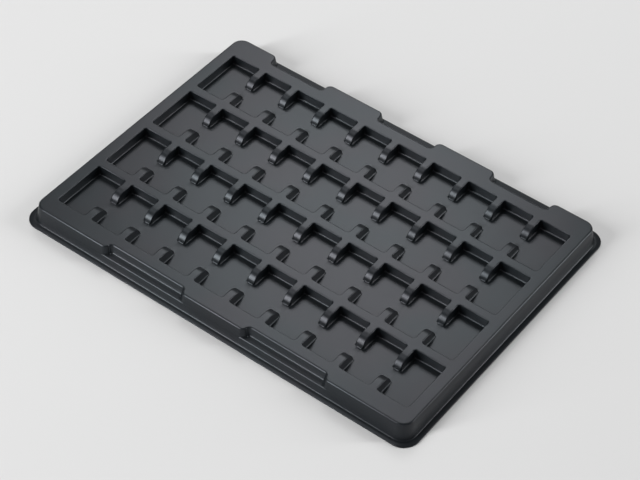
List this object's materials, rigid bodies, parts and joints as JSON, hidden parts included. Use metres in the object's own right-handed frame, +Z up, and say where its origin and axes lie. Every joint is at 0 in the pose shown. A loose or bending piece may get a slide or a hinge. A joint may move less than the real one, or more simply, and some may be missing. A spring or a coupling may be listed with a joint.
{
  "type": "thermoformed component tray",
  "caption": "Shallow black plastic tray formed from one sheet, with rows of open pockets divided by round-nosed ribs, a sloping skirt, a flat rim and stacking notches.",
  "frame": {"origin": "on the surface the tray stands on, under the middle of its flange's rectangle", "axes": "+X along the rows of pockets, +Y to the long edge with three notches, +Z up out of the pockets"},
  "size_m": [0.3256, 0.2392, 0.0144],
  "materials": {
    "sheet": "satin black formed sheet"
  },
  "bodies": {
    "root": {"tray": "sheet"}
  },
  "joints": []
}
